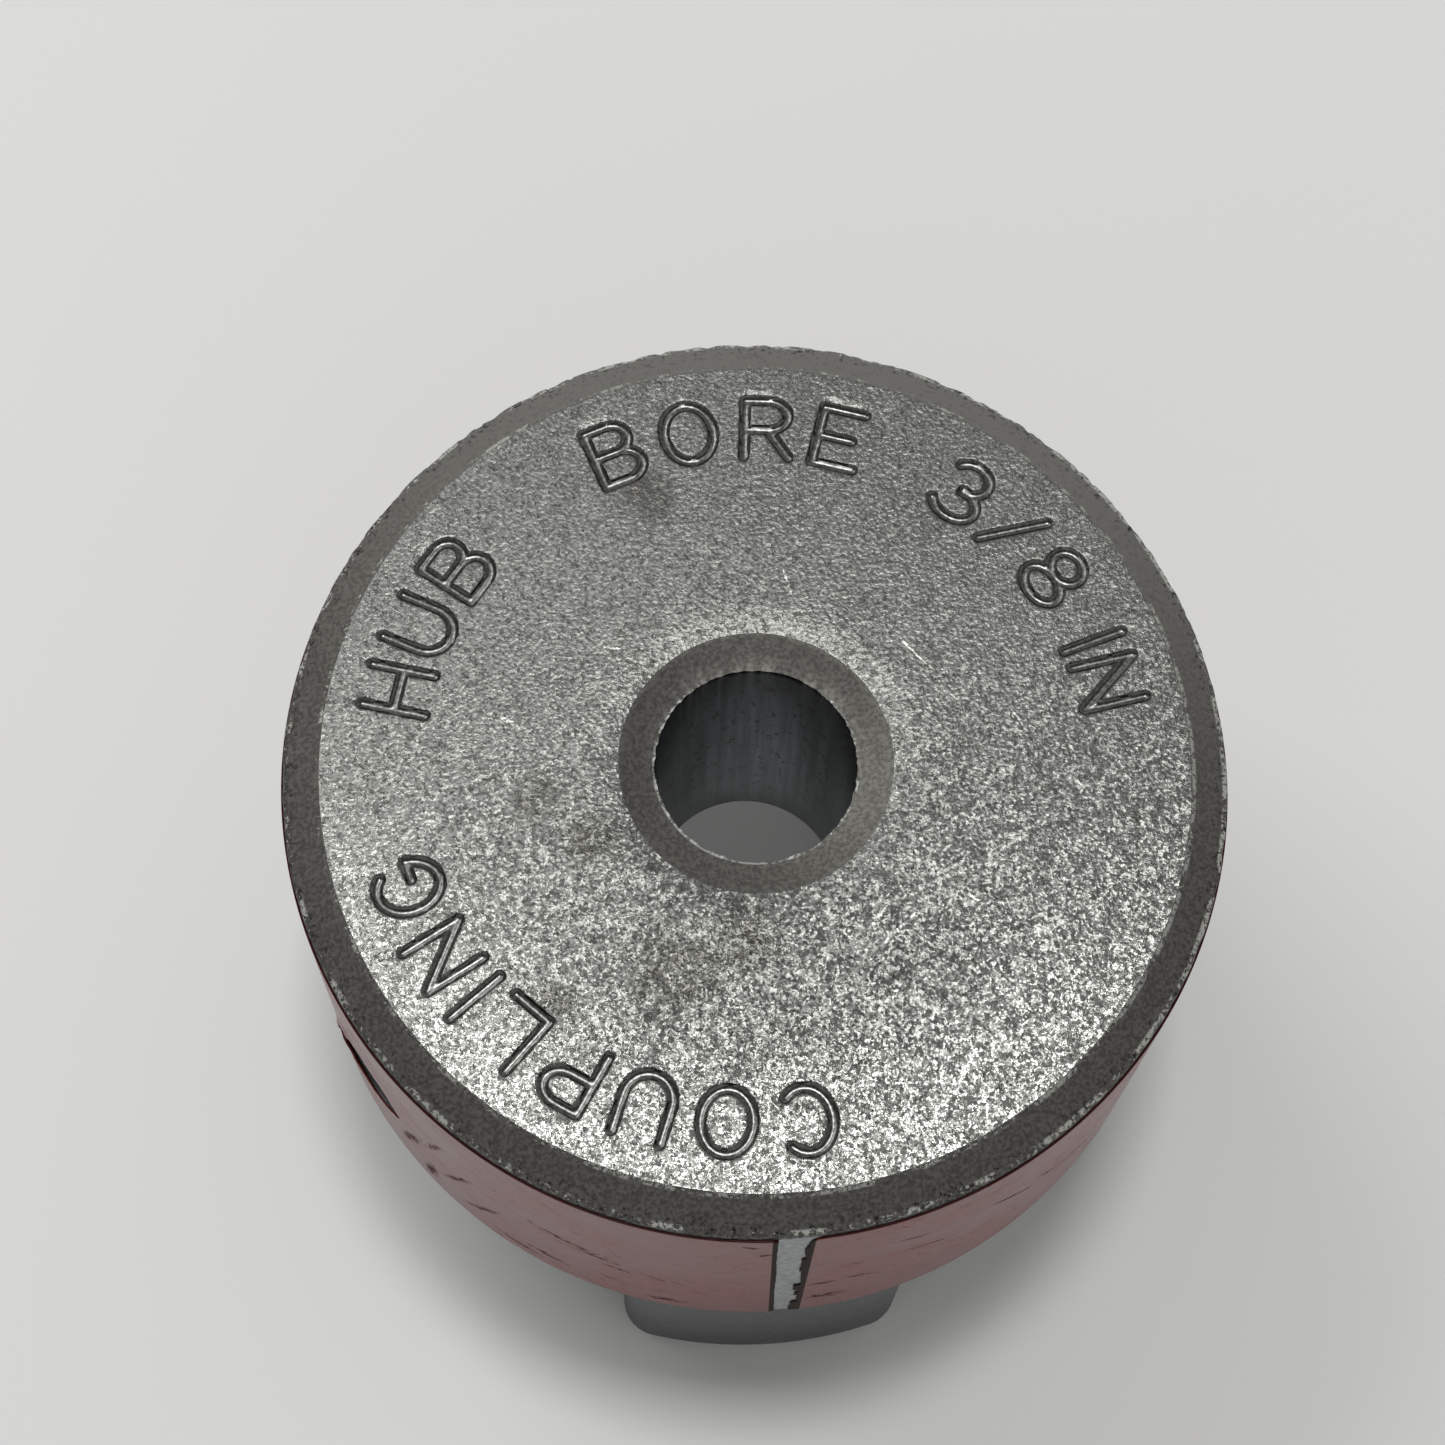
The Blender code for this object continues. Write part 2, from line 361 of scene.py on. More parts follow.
def body_points():
    """Rows of (radius, height, how much of the rim's dents, how much of the mouth's burr)."""
    top = HEIGHT
    low = JAW_LENGTH
    mouth = [(BORE + MOUTH_WIDTH * s, top - MOUTH_DROP * (1 - s), 0, 0) for s in (0.12, 0.5, 0.9, 0.97)]
    letter_rows = np.arange(15.35 * MM, 19.1 * MM, 0.09 * MM)
    flat_rows = [*np.linspace(MOUTH + 0.03 * MM, 15.2 * MM, 6), *letter_rows, 19.4 * MM, 20 * MM]
    face = [(radius, top, 0, 0) for radius in [*flat_rows, FACE_EDGE - 0.05 * MM, FACE_EDGE - 0.01 * MM]]
    rim = [(FACE_EDGE + RIM_WIDTH * s, top - RIM_DROP * s, s**8, 0) for s in (0.02, 0.3, 0.6, 0.82, 0.93)]
    edge = top - RIM_DROP
    side = [
        (OUTSIDE - 0.03 * MM, edge, 1, 0),
        (OUTSIDE, edge - 0.07 * MM, 1, 0),
        (OUTSIDE, edge - 0.17 * MM, 0.7, 0),
        (OUTSIDE, edge - 0.35 * MM, 0.1, 0),
        (OUTSIDE, 26 * MM, 0, 0),
        (OUTSIDE, 21 * MM, 0, 0),
        (OUTSIDE, 16 * MM, 0, 0),
        (OUTSIDE, low + 0.5 * MM, 0, 0),
        (OUTSIDE - 0.12 * MM, low + 0.2 * MM, 0, 0),
        (OUTSIDE - 0.35 * MM, low + 0.03 * MM, 0, 0),
        (OUTSIDE - 0.5 * MM, low, 0, 0),
        (15 * MM, low, 0, 0),
        (BORE + 0.85 * MM, low, 0, 0),
        (BORE + 0.72 * MM, low + 0.04 * MM, 0, 0),
        (BORE + 0.04 * MM, low + 0.72 * MM, 0, 0),
    ]
    mouth_end = top - MOUTH_DROP
    wall = [(BORE, z, 0, 0) for z in np.linspace(low + 0.85 * MM, mouth_end - 0.5 * MM, 5)]
    lip = [(BORE, mouth_end - 0.12 * MM, 0, 0.6), (BORE + 0.03 * MM, mouth_end + 0.02 * MM, 0, 1)]
    profile = np.array(wall + lip + mouth + face + rim + side)
    around = body_azimuths()
    points = turned(profile[:, :2], around)
    knock = profile[:, 2:3] * dents(around, 260, (0.004, 0.02), (0, 0.1 * MM))
    burr = profile[:, 3:4] * dents(around, 110, (0.01, 0.05), (0.01 * MM, 0.09 * MM))
    points[..., :2] *= (1 - knock / OUTSIDE - burr / BORE * 0.8)[..., None]
    points[..., 2] += burr * 0.6 - knock * 0.4
    on_face = profile[:, 1] == top
    points[on_face, :, 2] -= groove_depth(stroke_distance(points[on_face, :, 0], points[on_face, :, 1]))
    return points


hub_body = place("hub_body", grid_mesh("hub_body", body_points()))
print("body:", 2 * len(hub_body.data.polygons), "triangles")

# %% [markdown]
# ## Jaws
# A jaw is a stack of outlines. Each outline has the hub's outside as its outer side, two straight flanks
# parallel to the spider's legs, and rounded corners. It shrinks towards the jaw's end to round it off, and
# spreads at the root, as the fillet of a pressed jaw does. Each of the three jaws is joined to the body by
# its own Boolean.

# %% Jaws
LEG_WIDTH = 6.4 * MM
NOSE_RADIUS = 1.5 * MM
CORNER_RADIUS = 1.9 * MM
END_RADIUS = 0.9 * MM
ROOT_RADIUS = 0.6 * MM


def arc(centre, radius, first, last, steps):
    """Points of an arc in the plane."""
    turn = np.linspace(first, last, steps)
    return np.stack([centre[0] + radius * np.cos(turn), centre[1] + radius * np.sin(turn)], -1)


def jaw_outline(inset, spread):
    """A jaw's outline round +X, moved in by inset, with its flanks spread out by another length."""
    sector = math.pi / 6
    half_leg = LEG_WIDTH / 2 - spread
    outer = OUTSIDE - 0.03 * MM
    reach = outer - CORNER_RADIUS
    turn = sector - math.asin((half_leg + CORNER_RADIUS) / reach)
    corner = (reach * math.cos(turn), reach * math.sin(turn))
    nose = ((half_leg + NOSE_RADIUS) / math.sin(sector), 0)
    flank = math.pi / 2 + sector
    other = 2 * math.pi - flank
    radius = CORNER_RADIUS - inset
    return np.concatenate(
        [
            arc((0, 0), outer - inset, -turn, turn, 30)[:-1],
            arc(corner, radius, turn, flank, 10),
            arc(nose, NOSE_RADIUS - inset, flank, other, 18),
            arc((corner[0], -corner[1]), radius, other, 2 * math.pi - turn, 10)[:-1],
        ]
    )


def jaw_points():
    """Outlines as (inset, spread, height) from the jaw's end up into the body, closed at both ends by
    rows shrunk to a point."""
    quarter = np.linspace(0, math.pi / 2, 7)
    levels = [(END_RADIUS * (1 - math.sin(t)), 0, END_RADIUS * (1 - math.cos(t))) for t in quarter]
    levels += [(0, 0, z * MM) for z in (3, 6, 9)]
    root = JAW_LENGTH + 0.03 * MM
    for t in quarter[::-1]:
        levels.append((0, ROOT_RADIUS * (1 - math.sin(t)), root - ROOT_RADIUS * math.cos(t)))
    levels.append((0, ROOT_RADIUS, JAW_LENGTH + 1.5 * MM))
    rings = []
    for inset, spread, height in levels:
        outline = jaw_outline(inset, spread)
        rings.append(np.c_[outline, np.full(len(outline), height)])
    rings = np.array(rings)
    ends = rings[[0, -1]].mean(1, keepdims=True) + 0 * rings[[0, -1]]
    return np.concatenate([ends[:1], rings, ends[1:]])


def turned_about_z(points, angle):
    """Points turned round +Z by an angle."""
    return points @ np.array(Matrix.Rotation(-angle, 3, "Z"))


jaws = [
    place("jaw", grid_mesh("jaw", turned_about_z(jaw_points(), FRONT + n * 2 * math.pi / 3), ring=False))
    for n in range(3)
]
for jaw in jaws:
    boolean(hub_body, jaw, "UNION")
print("body with jaws:", len(hub_body.data.polygons), "faces")

# %% [markdown]
# ## Thread
# A thread is a height field on a cylinder: the radius depends on how far along the pitch a point is once
# its turn is taken off. The same function makes the screw and, a little larger, the rod that cuts the
# hole's thread, so the two mesh. The screw travels by whole turns, so they still mesh at its limits.

# %% Thread
PITCH = INCH / 20
SCREW_RADIUS = 0.25 * INCH / 2
THREAD_DEPTH = 0.68 * MM
THREAD_CLEARANCE = 0.1 * MM
SCREW_LENGTH = 0.375 * INCH
SCREW_TIP = BORE + 0.05 * MM + PITCH
SCREW_AZIMUTH = FRONT - math.pi / 3
screw_low, screw_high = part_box("set_screw")
SCREW_HEIGHT = (screw_low.z + screw_high.z) / 2


def thread(turn, along, crest):
    """Radius of a 60 degree thread: a triangle wave of the distance along less the turn's share of the
    pitch, with its tops and bottoms cut off flat."""
    phase = (along / PITCH - turn / (2 * math.pi)) % 1
    wave = np.abs(2 * phase - 1)
    return crest - THREAD_DEPTH * np.clip((wave - 0.12) / 0.7, 0, 1)


def along_screw(radius, turn, along):
    """Points from their radius and turn about the screw's axis and their distance from the bore's."""
    outward = np.array([math.cos(SCREW_AZIMUTH), math.sin(SCREW_AZIMUTH), 0])
    sideways = np.array([-outward[1], outward[0], 0])
    upward = np.array([0, 0, 1])
    across = radius * np.cos(turn)
    up = radius * np.sin(turn)
    spot = across[..., None] * sideways + up[..., None] * upward
    return spot + along[..., None] * outward + upward * SCREW_HEIGHT


def tap_points():
    """A threaded rod from inside the bore to outside the hub, closed at its ends."""
    rows = np.arange(2 * MM, OUTSIDE + 1 * MM, PITCH / 10)
    rows = rows[[0, *range(len(rows)), -1]]
    turn, along = np.meshgrid(np.linspace(0, 2 * math.pi, 60, endpoint=False), rows)
    radius = thread(turn, along, SCREW_RADIUS + THREAD_CLEARANCE)
    radius[[0, -1]] = 0
    return along_screw(radius, turn, along)


boolean(hub_body, place("tap", grid_mesh("tap", tap_points(), ring=False)), "DIFFERENCE")
hub_body.data.shade_smooth()
hub_body.data.set_sharp_from_angle(angle=math.radians(38))
print("body with its thread:", len(hub_body.data.polygons), "faces")

# %% [markdown]
# The stamped grooves are smoother than the face round them. Each point of the mesh carries how far inside
# a stroke it is, which the hub's finish reads as an attribute.

# %% Stamped attribute
spots = np.empty(3 * len(hub_body.data.vertices), np.float32)
hub_body.data.vertices.foreach_get("co", spots)
spots = spots.reshape(-1, 3).astype(float)
stamped = np.clip(1.3 - stroke_distance(spots[:, 0], spots[:, 1]) / STROKE_HALF_WIDTH, 0, 1)
stamped *= spots[:, 2] > HEIGHT - 0.5 * MM
attribute = hub_body.data.attributes.new("stamped", "FLOAT", "POINT")
attribute.data.foreach_set("value", stamped.astype(np.float32))
print("points in strokes:", int((stamped > 0.3).sum()))

# %% [markdown]
# ## Set screw
# The set screw is one closed surface from the middle of its cup point, along the thread and over its outer
# end, down the hexagon socket to the socket's drilled bottom. A hexagon's radius is half the width across
# its flats divided by the cosine of the turn from the nearest flat's middle.

# %% Set screw
SOCKET_FLATS = 0.125 * INCH
SOCKET_DEPTH = 3.6 * MM


def screw_points():
    """Rows of (radius, distance from the tip): cup, point, thread with its crests cut by both ends'
    chamfers, outer end, socket."""
    turn = np.linspace(0, 2 * math.pi, 96, endpoint=False)
    rows = np.arange(0.5 * MM, SCREW_LENGTH - 0.3 * MM, PITCH / 14)[:, None]
    from_end = np.minimum(rows, SCREW_LENGTH - rows)
    wall = np.minimum(thread(turn, rows + SCREW_TIP, SCREW_RADIUS), 1.95 * MM + 1.1 * from_end)
    hexagon = SOCKET_FLATS / 2 / np.cos((turn + math.pi / 6) % (math.pi / 3) - math.pi / 6)
    cup = [(0, 0.75), (1.5, 0.06), (1.6, 0), (1.85, 0.03), (2.05, 0.22)]
    top = SCREW_LENGTH
    end = [
        (2.3 * MM, top - 0.1 * MM),
        (2.15 * MM, top),
        (hexagon + 0.12 * MM, top),
        (hexagon, top - 0.12 * MM),
        (hexagon, top - SOCKET_DEPTH),
        (0, top - SOCKET_DEPTH - 0.8 * MM),
    ]
    radius = [r * MM + 0 * turn for r, _ in cup] + list(wall) + [r + 0 * turn for r, _ in end]
    along = [s * MM for _, s in cup] + list(rows[:, 0]) + [s for _, s in end]
    along = SCREW_TIP + np.array(along)[:, None] + 0 * turn
    return along_screw(np.array(radius), turn + 0 * along, along)


screw_body = place("set_screw_body", grid_mesh("set_screw_body", screw_points(), ring=False), sharp=35)
print("set screw:", len(screw_body.data.polygons), "faces")

# %% [markdown]
# ## Label band
# The label is a band of red film, about a tenth of a millimetre thick, wrapped round the hub's side. Its
# two ends don't meet at the front: one is cut straight but a little aslant, and the other is chipped. A chip
# is a short stretch of rows that starts further round, given by its middle, half its height and its reach.
# Over the set screw the film is pierced, and its torn edge stands off the metal. It could be a solidified
# strip, but as a grid over the share of the way round and the height, with an outer and an inner skin,
# every chip, wave and lift is a plain function of the two.

# %% Label band
FILM_CLEARANCE = 0.02 * MM
FILM_THICKNESS = 0.09 * MM
FILM_TOP = HEIGHT - 1.32 * MM
FILM_BOTTOM = JAW_LENGTH + 0.55 * MM
FILM_START = math.radians(273.8)
FILM_END = math.radians(630.4)
START_SHIFT = -0.011
END_SHIFT = 0.002
END_SLANT = 0.0188
HOLE_RADIUS = 2.65 * MM
TORN_LIFT = 0.13 * MM
WAVES = np.random.default_rng(8)
CHIPS = MM * np.array(
    [
        (28.3, 0.9, 0.1),
        (24.6, 1.5, 0.17),
        (18.7, 0.55, 0.3),
        (16.9, 0.3, 0.14),
        (13.5, 1.1, 0.27),
    ]
)


def waves(places, *sizes_and_lengths):
    """A sum of sine waves of random phase, each with its size and its wavelength."""
    phases = WAVES.uniform(0, 2 * math.pi, len(sizes_and_lengths))
    return sum(
        size * np.sin(2 * math.pi * places / length + phase)
        for (size, length), phase in zip(sizes_and_lengths, phases)
    )


def film_shares():
    """Shares of the way round: close together at the ends, at the hole and on the front."""
    whole = math.degrees(FILM_END - FILM_START)
    steps = [0.0]
    while steps[-1] < whole:
        azimuth = (math.degrees(FILM_START) + steps[-1]) % 360
        near_end = min(steps[-1], whole - steps[-1]) < 3
        near_hole = abs(azimuth - math.degrees(SCREW_AZIMUTH)) < 16
        if near_end:
            step = 0.12
        elif near_hole:
            step = 0.25
        else:
            step = 0.5 if azimuth > 180 else 1.5
        steps.append(steps[-1] + step)
    return np.array(steps[:-1] + [whole]) / whole


def film_start(up):
    """Azimuth of the film's first end, the same at every share of the way up. It takes numbers or a wire."""
    return FILM_START + START_SHIFT + 0.0 * up


def film_end(up):
    """Azimuth of the film's last end, a turn on: it slants by an angle times the share of the way up."""
    return FILM_END + END_SHIFT - END_SLANT * up


def film_rows():
    """Heights of the film's rows: even steps, and two rows close together at the ends of each chip."""
    even = np.linspace(FILM_BOTTOM + 0.3 * MM, FILM_TOP - 0.3 * MM, 56)
    ends = np.array([middle + side * half for middle, half, _ in CHIPS for side in (-1, 1)])
    edges = [FILM_BOTTOM, FILM_BOTTOM + 0.08 * MM, FILM_TOP - 0.15 * MM, FILM_TOP - 0.07 * MM, FILM_TOP]
    return np.sort(np.concatenate([even, ends - 0.02 * MM, ends + 0.02 * MM, edges]))


def film_points():
    """Each row is a loop up the outer skin and down the inner one. The radius is the hub's, plus a lift
    that falls off from the torn hole as exp(-(distance / 0.35 mm)^2), plus the thickness. The first and
    last rows are pressed flat, so that their two skins meet and close the band's ends."""
    height = film_rows()
    up = (height - FILM_BOTTOM) / (FILM_TOP - FILM_BOTTOM)
    ragged = waves(height, (0.0016, 5 * MM), (0.0014, 1.3 * MM), (0.0008, 0.7 * MM))
    for middle, half, reach in CHIPS:
        ragged = ragged - reach / OUTSIDE * (np.abs(height - middle) <= half)
    straight = waves(height, (0.0008, 9 * MM), (0.0005, 2 * MM))
    cut = 0.03 * np.clip((up - 0.95) / 0.05, 0, 1) ** 2
    start = film_start(up) + ragged + cut
    end = film_end(up) + straight
    azimuth = start + (end - start) * film_shares()[:, None]
    level = height + 0 * azimuth
    across = ((azimuth - SCREW_AZIMUTH + math.pi) % (2 * math.pi) - math.pi) * OUTSIDE
    past = np.maximum(np.hypot(across, level - SCREW_HEIGHT) - HOLE_RADIUS, 0)
    lift = TORN_LIFT * np.exp(-((past / (0.35 * MM)) ** 2)) * np.clip(0.4 - across / (4 * MM), 0.1, 1)
    lift *= 1 + 0.4 * np.sin(across / (0.3 * MM)) * np.sin(level / (0.4 * MM))
    from_edge = np.minimum(level - FILM_BOTTOM, FILM_TOP - level)
    rounded = 0.03 * MM * np.exp(-from_edge / (0.1 * MM))
    inner = OUTSIDE + FILM_CLEARANCE + lift
    outer = inner + FILM_THICKNESS - rounded
    middle = (inner[[0, -1]] + outer[[0, -1]]) / 2
    inner[[0, -1]] = middle
    outer[[0, -1]] = middle
    radius = np.concatenate([outer, inner[:, ::-1]], 1)
    turn = np.concatenate([azimuth, azimuth[:, ::-1]], 1)
    rise = np.concatenate([level, level[:, ::-1]], 1)
    return np.stack([radius * np.cos(turn), radius * np.sin(turn), rise], -1)


def punch_points():
    """A ragged plug across the film at the screw: its radius is the hole's plus a sum of waves."""
    turn = np.linspace(0, 2 * math.pi, 120, endpoint=False)
    tears = [(0.12 * MM, math.tau / 3), (0.08 * MM, math.tau / 7), (0.05 * MM, math.tau / 19)]
    ragged = HOLE_RADIUS + waves(turn, *tears)
    along = np.array([20, 20, 24, 24])[:, None] * MM + 0 * turn
    radius = np.array([0, 1, 1, 0])[:, None] * ragged
    return along_screw(radius, turn + 0 * along, along)


label_film = place("label_film", grid_mesh("label_film", film_points(), ring=False), sharp=50)
boolean(label_film, place("punch", grid_mesh("punch", punch_points(), ring=False)), "DIFFERENCE")
label_film.data.shade_smooth()
label_film.data.set_sharp_from_angle(angle=math.radians(50))
print("label film:", len(label_film.data.polygons), "faces")

# %% [markdown]
# ## Shader arithmetic
# A finish is a formula over the surface. Written as nodes it is hard to read, so a small class wraps a
# socket: arithmetic on it adds Math nodes, and its node method adds any other.


# %% Wire
class Wire:
    """A socket of a node tree that Python's operators work on."""

    def __init__(self, socket):
        self.socket = socket

    def node(self, kind, settings, values, out=0):
        """Adds a node of a type, with its settings first and then its sockets' values or links."""
        made = self.socket.id_data.nodes.new("ShaderNode" + kind)
        for name, value in settings.items():
            setattr(made, name, value)
        for name, value in values.items():
            feed(made.inputs[name], value)
        return Wire(made.outputs[out])

    def math(self, operation, *values):
        return self.node("Math", {"operation": operation}, dict(enumerate(values)))

    def __add__(self, other):
        return self.math("ADD", self, other)

    def __sub__(self, other):
        return self.math("SUBTRACT", self, other)

    def __rsub__(self, other):
        return self.math("SUBTRACT", other, self)

    def __mul__(self, other):
        return self.math("MULTIPLY", self, other)

    def __truediv__(self, other):
        return self.math("DIVIDE", self, other)

    def __pow__(self, other):
        return self.math("POWER", self, other)

    def __abs__(self):
        return self.math("ABSOLUTE", self)

    __radd__ = __add__
    __rmul__ = __mul__

    def largest(self, other):
        return self.math("MAXIMUM", self, other)

    def rise(self, low, high):
        """0 below low, 1 above high, and a smooth slope between. With low above high it falls."""
        settings = {"interpolation_type": "SMOOTHSTEP"}
        return self.node("MapRange", settings, {"Value": self, "From Min": low, "From Max": high})

    def colour_to(self, first, second):
        """A colour that goes from first to second as this goes from 0 to 1."""
        return self.node("Mix", {"data_type": "RGBA"}, {0: self, 6: first, 7: second}, out=2)

    def vector(self, operation, *values, out=0):
        """Vector maths on this wire and other vectors."""
        return self.node("VectorMath", {"operation": operation}, dict(enumerate((self, *values))), out)

    def stretched(self, x, y, z):
        """These coordinates times a number along each axis."""
        return self.vector("MULTIPLY", (x, y, z))

    def dot(self, direction):
        return self.vector("DOT_PRODUCT", direction, out=1)

    def noise(self, scale, detail=2, roughness=0.5):
        values = {"Vector": self, "Scale": scale, "Detail": detail, "Roughness": roughness}
        return self.node("TexNoise", {}, values)

    def facets(self, scale, lean):
        """A small random lean for each cell of this size: (the cell's own colour - 1/2) * lean."""
        cells = self.node("TexVoronoi", {}, {"Vector": self, "Scale": scale}, out="Color")
        off_middle = cells.vector("SUBTRACT", (0.5, 0.5, 0.5))
        return off_middle.node("VectorMath", {"operation": "SCALE"}, {"Vector": off_middle, "Scale": lean})


def feed(socket, value):
    """Links a wire to a socket, or sets the socket's own value. A colour of three gets its alpha."""
    if isinstance(value, Wire):
        socket.id_data.links.new(value.socket, socket)
    elif socket.type == "RGBA":
        socket.default_value = (*value, 1)
    else:
        socket.default_value = value


def new_finish(name, **constants):
    """A material, its shader's sockets, and the piece's own coordinates in millimetres. Constants are
    set on the shader's own sockets."""
    material = bpy.data.materials.new(name)
    material.use_nodes = True
    shader = material.node_tree.nodes["Principled BSDF"]
    for socket, value in constants.items():
        feed(shader.inputs[socket.replace("_", " ")], value)
    coordinates = Wire(material.node_tree.nodes.new("ShaderNodeTexCoord").outputs["Object"])
    return material, shader.inputs, coordinates.stretched(1 / MM, 1 / MM, 1 / MM)


def bumped(height, distance):
    """A normal from a height: 1 is raised by a distance in metres."""
    return height.node("Bump", {}, {"Height": height, "Strength": 1, "Distance": distance}, out="Normal")


print("wires ready")

# %% [markdown]
# ## Places on the hub
# The hub is one surface with several finishes: the pressed back face, two rough chamfers, the bore's wall,
# and the side and jaws. Separate pieces would show seams, so masks tell these places apart. They are worked
# out from the distance to the bore's axis and from the height, in millimetres.


# %% Places on the hub
def top_of_wall():
    """Height of the upper end of the bore's wall, in millimetres."""
    return (HEIGHT - MOUTH_DROP) / MM


def places_on_hub(mm):
    """The hub's coordinates, the noises that its finishes share, and masks of its places, each 0 to 1."""
    x, y, z = [mm.node("SeparateXYZ", {}, {"Vector": mm}, out=axis) for axis in range(3)]
    radius = (x * x + y * y) ** 0.5
    top = HEIGHT / MM
    rim_foot = top - RIM_DROP / MM
    inside_rim = radius.rise(FACE_EDGE / MM + 0.03, FACE_EDGE / MM - 0.03)
    outside_mouth = radius.rise(MOUTH / MM - 0.03, MOUTH / MM + 0.03)
    mouth = (1 - outside_mouth) * z.rise(top_of_wall() - 0.06, top_of_wall())
    face = inside_rim * outside_mouth * z.rise(top - 0.45, top - 0.35)
    stamp = mm.node("Attribute", {"attribute_name": "stamped"}, {}, out="Fac")
    groove = stamp.rise(0.2, 0.5)
    return SimpleNamespace(
        x=x,
        y=y,
        z=z,
        face=face,
        radius=radius,
        rim=(1 - inside_rim) * z.rise(rim_foot - 0.12, rim_foot),
        mouth=mouth,
        wall=radius.rise(BORE / MM + 0.12, BORE / MM + 0.04) * (1 - mouth),
        stamp=stamp,
        groove=groove,
        rough_face=face * (1 - groove),
        grain=mm.noise(5.2, 2, 0.5),
        coarse=mm.noise(1.1, 3, 0.6),
        patch=mm.noise(0.16, 3, 0.6),
        specks=mm.noise(3.3, 3, 0.65).rise(0.57, 0.66),
        broken=(mm.noise(0.5, 3, 0.65) + 0.06 * x / (OUTSIDE / MM)).rise(0.44, 0.6),
        streaks=mm.stretched(1, 1, 0.03).noise(2.2, 3, 0.6),
    )


def oval(across, up, half_length, half_width, tilt):
    """A mask: 1 - (along / half_length)^2 - (off / half_width)^2, tilted by degrees, in millimetres."""
    slope = math.radians(tilt)
    along = across * math.cos(slope) - up * math.sin(slope)
    off = across * math.sin(slope) + up * math.cos(slope)
    return 1 - (along / half_length) ** 2 - (off / half_width) ** 2


print("bore's wall ends at", round(top_of_wall(), 2), "mm")

# %% [markdown]
# ## Back face
# Sintered iron is pressed powder. Its grains, about a sixth of a millimetre across, are light and dark, and
# pores between them hold dirt. The face is painted lighter near its front edge, a painted highlight where it
# mirrors the lamp. Oily smudges have darkened it, and a few scratches shine. The walls of the stamped
# strokes are painted darker than their bottoms, as painted shade.

# %% Back face
SMUDGES = [
    (247, 10.8, 3.6),
    (263, 8.6, 2.6),
    (205, 8.6, 2.2),
    (108, 14.5, 2.2),
    (188, 10.5, 1.8),
    (228, 15.0, 1.8),
]
SCRATCHES = [
    (7.5, 5.5, 1.6, 0.06, 50),
    (6.0, -8.5, 1.4, 0.07, -42),
    (5.2, -7.8, 0.8, 0.06, -50),
    (-11.5, 2.5, 0.6, 0.12, 30),
    (2.0, 9.0, 0.9, 0.06, 75),
    (9.5, -7.0, 0.7, 0.06, 35),
    (-6.5, 6.0, 0.5, 0.06, 10),
    (12.5, 1.5, 1.0, 0.05, 60),
]


def face_smudges(mm, hub):
    """The largest of 1 - distance / size over the smudges (azimuth, radius, size), broken up by noise."""
    found = 0.0
    for azimuth, reach, size in SMUDGES:
        turn = math.radians(azimuth)
        away = ((hub.x - reach * math.cos(turn)) ** 2 + (hub.y - reach * math.sin(turn)) ** 2) ** 0.5
        found = (1 - away / size).largest(found)
    return (found + 0.8 * (hub.coarse - 0.5)).rise(0.05, 0.75) * mm.noise(2.6, 4, 0.75).rise(0.36, 0.56)


def face_scratches(hub):
    """Thin ovals (x, y, half length, half width, tilt) where the grain is high."""
    found = 0.0
    for across, up, *size_and_tilt in SCRATCHES:
        found = oval(hub.x - across, hub.y - up, *size_and_tilt).largest(found)
    return (found.rise(0, 0.5) * hub.grain.rise(0.35, 0.5)).rise(0, 1) * hub.rough_face


def face_colour(mm, hub):
    """Grain, painted lighter towards the front edge as a painted highlight, then grooves with painted shade
    on their walls, dirt and scratches laid over it.
    """
    colour = hub.grain.rise(0.35, 0.65).colour_to((0.135, 0.137, 0.128), (0.215, 0.218, 0.203))
    # Painted highlight: the face is made lighter towards its front edge, where it mirrors the lamp.
    to_front = (0.1 - 1.1 * hub.y / hub.radius - 0.15 * hub.x / hub.radius).rise(-0.1, 1.1)
    front_highlight = (hub.radius.rise(11, 20.5) * to_front) ** 1.5
    colour = (front_highlight + 0.5 * (hub.coarse - 0.5) * front_highlight).colour_to(colour, (0.34, 0.34, 0.32))
    groove_bottom = hub.grain.rise(0.35, 0.65).colour_to((0.10, 0.1, 0.093), (0.2, 0.2, 0.19))
    # Painted shade: the walls of the stamped strokes are darkened towards black.
    groove_wall_shade = hub.stamp.rise(0.02, 0.2) * hub.stamp.rise(1.0, 0.8)
    colour = hub.groove.colour_to(colour, groove_bottom)
    colour = (0.5 * groove_wall_shade).colour_to(colour, (0.04, 0.039, 0.036))
    dirt = (hub.specks * 0.6).largest(0.75 * face_smudges(mm, hub))
    dirt = dirt.largest(hub.coarse.rise(0.5, 0.75) * 0.3) * hub.rough_face
    colour = dirt.colour_to(colour, (0.05, 0.045, 0.04))
    return face_scratches(hub).colour_to(colour, (0.5, 0.5, 0.47))


print(len(SMUDGES), "smudges and", len(SCRATCHES), "scratches")
